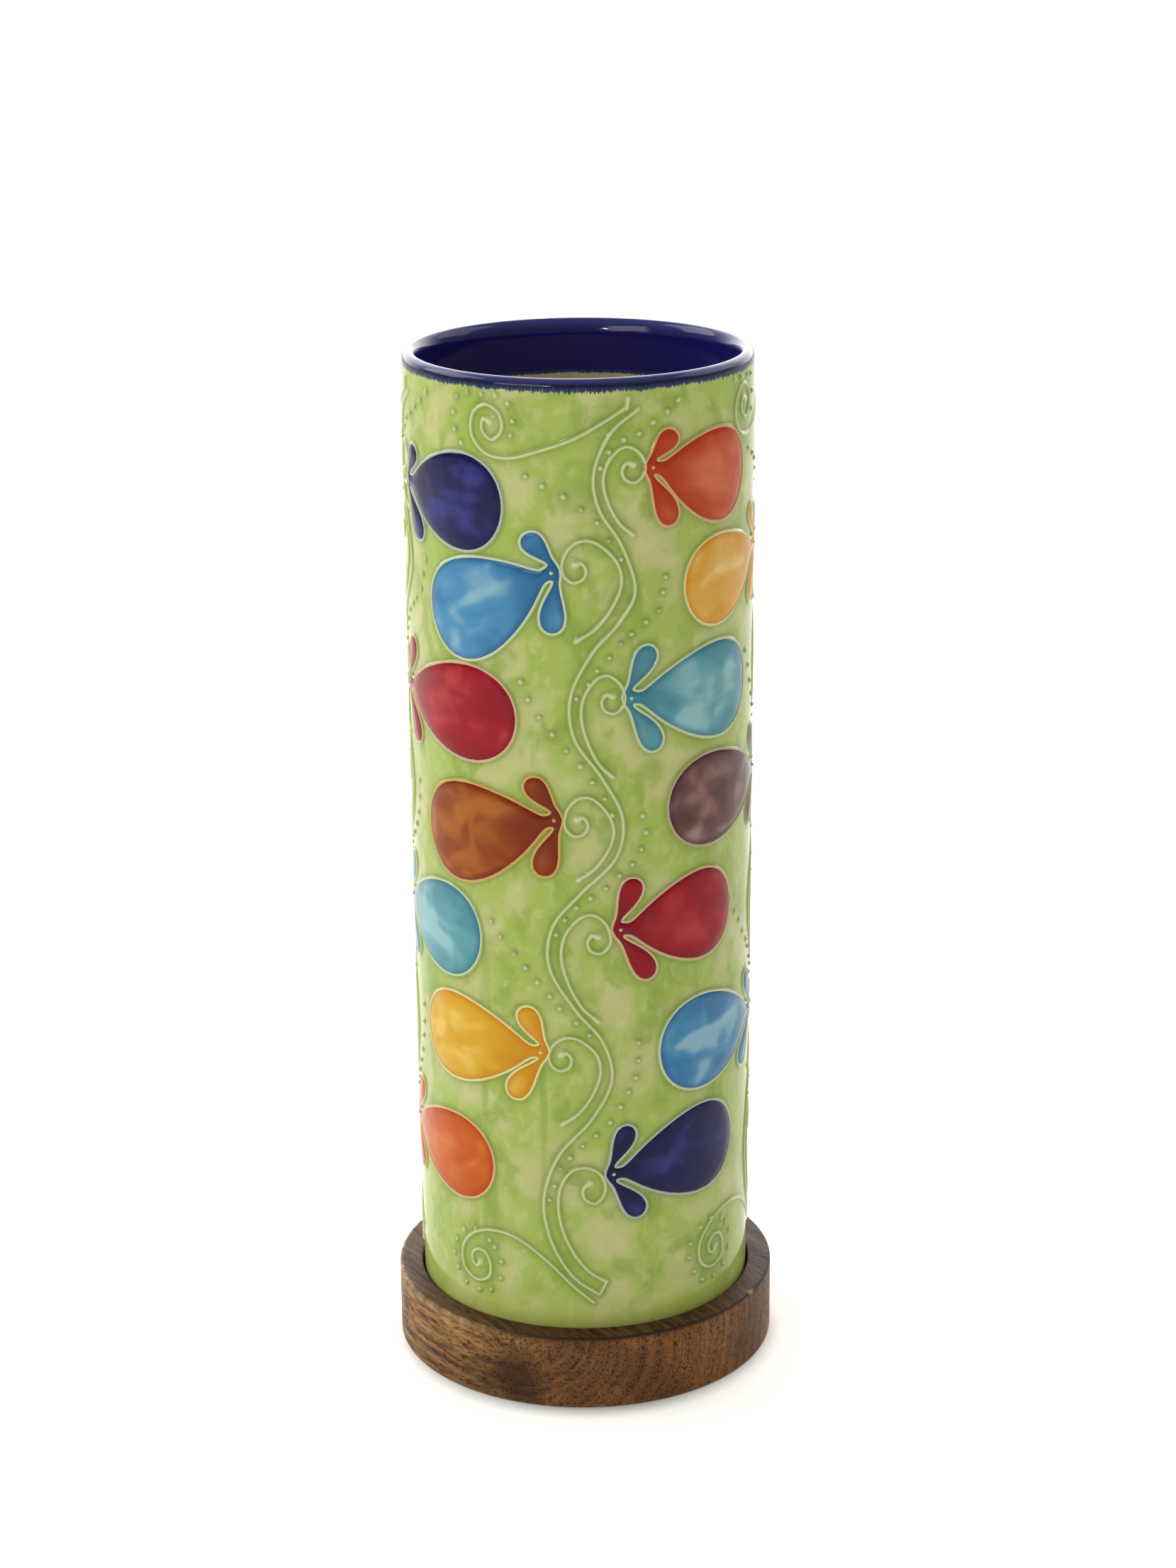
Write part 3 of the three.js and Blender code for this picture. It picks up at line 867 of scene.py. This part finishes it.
def turned_base():
    """The wooden disc: flat underside, eased arrises, a ring of face grain, and the recess."""
    profile = np.concatenate([
        [[0, 0], [BASE_RADIUS - 6, 0]],
        arc(BASE_RADIUS - 0.8, 0.8, 0.8, -90, 0, 5),
        [[BASE_RADIUS, z] for z in np.linspace(2, BASE_TOP - 2, 8)],
        arc(BASE_RADIUS - 0.9, BASE_TOP - 0.9, 0.9, 0, 90, 6),
        [[r, BASE_TOP] for r in np.linspace(BASE_RADIUS - 1.4, RECESS_RADIUS + 1.0, 5)],
        arc(RECESS_RADIUS + 0.6, BASE_TOP - 0.6, 0.6, 90, 180, 5),
        [[RECESS_RADIUS, BASE_TOP - 3], [RECESS_RADIUS, BASE_TOP - RECESS_DEPTH],
         [RECESS_RADIUS - 6, BASE_TOP - RECESS_DEPTH], [0, BASE_TOP - RECESS_DEPTH]],
    ])
    points, triangles, angle, z = lathed(profile, 512)
    radius = np.hypot(points[:, 0], points[:, 1]).reshape(angle.shape)
    near_arris = np.exp(-(((radius - BASE_RADIUS + 0.3) / 0.7) ** 2 + ((z - BASE_TOP + 0.3) / 0.8) ** 2))
    # Worn pale on the left from behind round to the front left, dark from there round the front.
    turn = (np.degrees(angle) + 180) % 360 - 180
    left = 1 / (1 + np.exp((turn + 34) / 6))
    rubbed = np.exp(-(((radius - BASE_RADIUS + 0.3) / 0.7) ** 2 + ((z - BASE_TOP + 0.3) / 1.7) ** 2))
    worn = rubbed * left * (0.6 + 0.25 * np.sin(turn * 0.9) + 0.15 * np.sin(turn * 2.3))
    dark = near_arris * (1 - left)
    # Painted shade on the recess wall and its arris, in the narrow gap round the vase's foot.
    recess_gap_shade = np.exp(-(((radius - RECESS_RADIUS) / 0.5) ** 2)) * (z > BASE_TOP - RECESS_DEPTH - 0.1)
    lower = 0.5 * np.exp(-((z / 0.9) ** 2)) * (radius > BASE_RADIUS - 1.5)
    # One small chip in the top arris, at the front right.
    chip = near_arris * np.exp(-(((turn - 62) / 1.3) ** 2))
    dent = 1 - 0.9 * chip.ravel()[:, None] / BASE_RADIUS
    points = points * np.concatenate([dent, dent, 1 - 0.5 * chip.ravel()[:, None] / BASE_TOP], 1)
    worn, dark = np.maximum(worn, 1.4 * chip), dark * (1 - np.minimum(1, 2 * chip))
    fields = {"worn": np.clip(worn + 0.4 * lower, 0, 1).ravel(),
              "dark_edge": np.clip(dark + 0.8 * recess_gap_shade, 0, 1).ravel()}
    return compact(points * MM, triangles, fields)


# ---- build

vines = [vine(index) for index in range(VINES)]
for _, lines, flowers, dots in vines:
    for line, _ in lines:
        mark_slip(line)
    for flower in flowers:
        mark_slip(flower.outline)
    mark_slip(np.array(dots), DOT_WEIGHT)
pool = 1 - np.exp(-POOL_GAIN * sum(share * spread(blur) for share, blur in POOL_SPREADS))

glaze = pottery_glaze()
flower_glazes = {name: flower_glaze(name) for name in GLAZES}
wall = add_piece("vase_wall", [vase_wall()], glaze)
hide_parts("vase_body")

for name, lines, flowers, dots in vines:
    slip_colour = CREAM
    add_piece(f"{name}_vine_slip_lines", [trailed_line(line, blunt=blunt) for line, blunt in lines], glaze)
    drops = []
    for dot in dots:
        slip_colour = BROWNED if rng.random() < BROWNED_SHARE else CREAM
        drops.append(slip_dot(*dot, *rng.uniform(*DROP_SIZES)))
    add_piece(f"{name}_vine_slip_dots", drops, glaze)
    for number, flower in enumerate(flowers, 1):
        slip_colour = np.array(linear(GLAZES[flower.colour][3])[:3])
        label = f"{name}_flower_{number}"
        add_piece(label + "_slip_outline", [flower.outline_body(), slip_dot(*flower.neck, *EYE)], glaze)
        add_piece(label + "_glaze", flower.glaze_bodies(), flower_glazes[flower.colour])

base = add_piece("turned_base", [turned_base()], oiled_hardwood(), "base")
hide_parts("wooden_base")


# ---- floor, light and camera

def studio_floor():
    """A plain cream-white sweep, far larger than the view."""
    material, add = new_material("cream_white_paper")
    place = add("TexCoord", out="Object")
    fibre = add("TexNoise", inputs={"Vector": place, "Scale": 30, "Detail": 2})
    paper = add("Mix", MIX, {0: fibre, 6: linear("#D9D9D7"), 7: linear("#DBDBD9")}, 2)
    # It glows a little, as if lit from below, except where the base stands on it and just in front of it:
    # that gap in the glow is a painted contact shadow.
    out = add("VectorMath", {"operation": "DISTANCE"}, {0: place, 1: (0, -0.005, 0)}, "Value")
    glow_and_painted_contact_shadow = add("MapRange", SMOOTH, {0: out, 1: (BASE_RADIUS - 6) * MM, 2: (BASE_RADIUS + 5) * MM, 3: 0.0,
            4: 0.46})
    shader = add("BsdfPrincipled", inputs={"Base Color": paper, "Roughness": 0.9,
            "Emission Color": linear("#FFFAEE"), "Emission Strength": glow_and_painted_contact_shadow})
    add("OutputMaterial", inputs={"Surface": shader})
    reach = 40.0
    mesh = bpy.data.meshes.new("floor")
    mesh.from_pydata([(-reach, -reach, 0), (reach, -reach, 0), (reach, reach, 0), (-reach, reach, 0)], [],
                     [(0, 1, 2, 3)])
    mesh.materials.append(material)
    floor = bpy.data.objects.new("floor", mesh)
    bpy.context.collection.objects.link(floor)


def soft_box(name, place, target, width, height, watts):
    light = bpy.data.lights.new(name, "AREA")
    light.shape, light.size, light.size_y, light.energy = "RECTANGLE", width, height, watts
    lamp = bpy.data.objects.new(name, light)
    lamp.location = place
    aim = np.array(target) - np.array(place)
    lamp.rotation_euler = (math.atan2(math.hypot(aim[0], aim[1]), -aim[2]), 0, math.atan2(-aim[0], aim[1]))
    bpy.context.collection.objects.link(lamp)


def camera():
    """Looks down on the vase by 18 degrees from 1.2 m, in front and a hair rolled."""
    pitch = math.radians(18.05)
    roll = math.radians(-0.465)
    distance = 1.199
    aim_height = 0.2208
    data = bpy.data.cameras.new("camera")
    data.lens = 73.94
    data.sensor_width = 36
    data.shift_x = 0.0042
    data.clip_start, data.clip_end = 0.05, 60
    eye = bpy.data.objects.new("camera", data)
    eye.location = (0, -distance * math.cos(pitch), aim_height + distance * math.sin(pitch))
    eye.rotation_mode = "QUATERNION"
    tilt = Euler((math.pi / 2 - pitch, 0, 0)).to_quaternion()
    eye.rotation_quaternion = tilt @ Quaternion((0, 0, 1), roll)
    bpy.context.collection.objects.link(eye)
    bpy.context.scene.camera = eye


def world_light():
    """A pale room whose far side, behind the vase, is lit much brighter, as a white backdrop is."""
    world = bpy.data.worlds.new("studio")
    world.use_nodes = True
    tree = world.node_tree
    direction = node(tree, "TexCoord", out="Generated")
    towards_back = node(tree, "SeparateXYZ", inputs={0: direction}, out="Y")
    strength = node(tree, "MapRange", SMOOTH, {0: towards_back, 1: 0.4, 2: 0.85, 3: 0.45, 4: 3.3})
    background = tree.nodes["Background"]
    background.inputs["Color"].default_value = linear("#FFFEFB")
    tree.links.new(strength, background.inputs["Strength"])
    bpy.context.scene.world = world


studio_floor()
world_light()
soft_box("key_from_front_left", (-1.3, -1.6, 1.05), (0, 0, 0.25), 1.1, 0.8, 12.8)
soft_box("spark_from_front_left", (-0.8, -2.1, 0.95), (0, 0, 0.2), 0.14, 0.14, 4.5)
soft_box("table_light_left", (-1.1, 0.35, 1.1), (-0.45, 0.25, 0.0), 0.9, 0.9, 11.5)
soft_box("table_light_right", (1.1, 0.35, 1.1), (0.4, 0.1, 0.0), 0.9, 0.9, 5)
camera()
bpy.context.scene.view_settings.view_transform = "Standard"
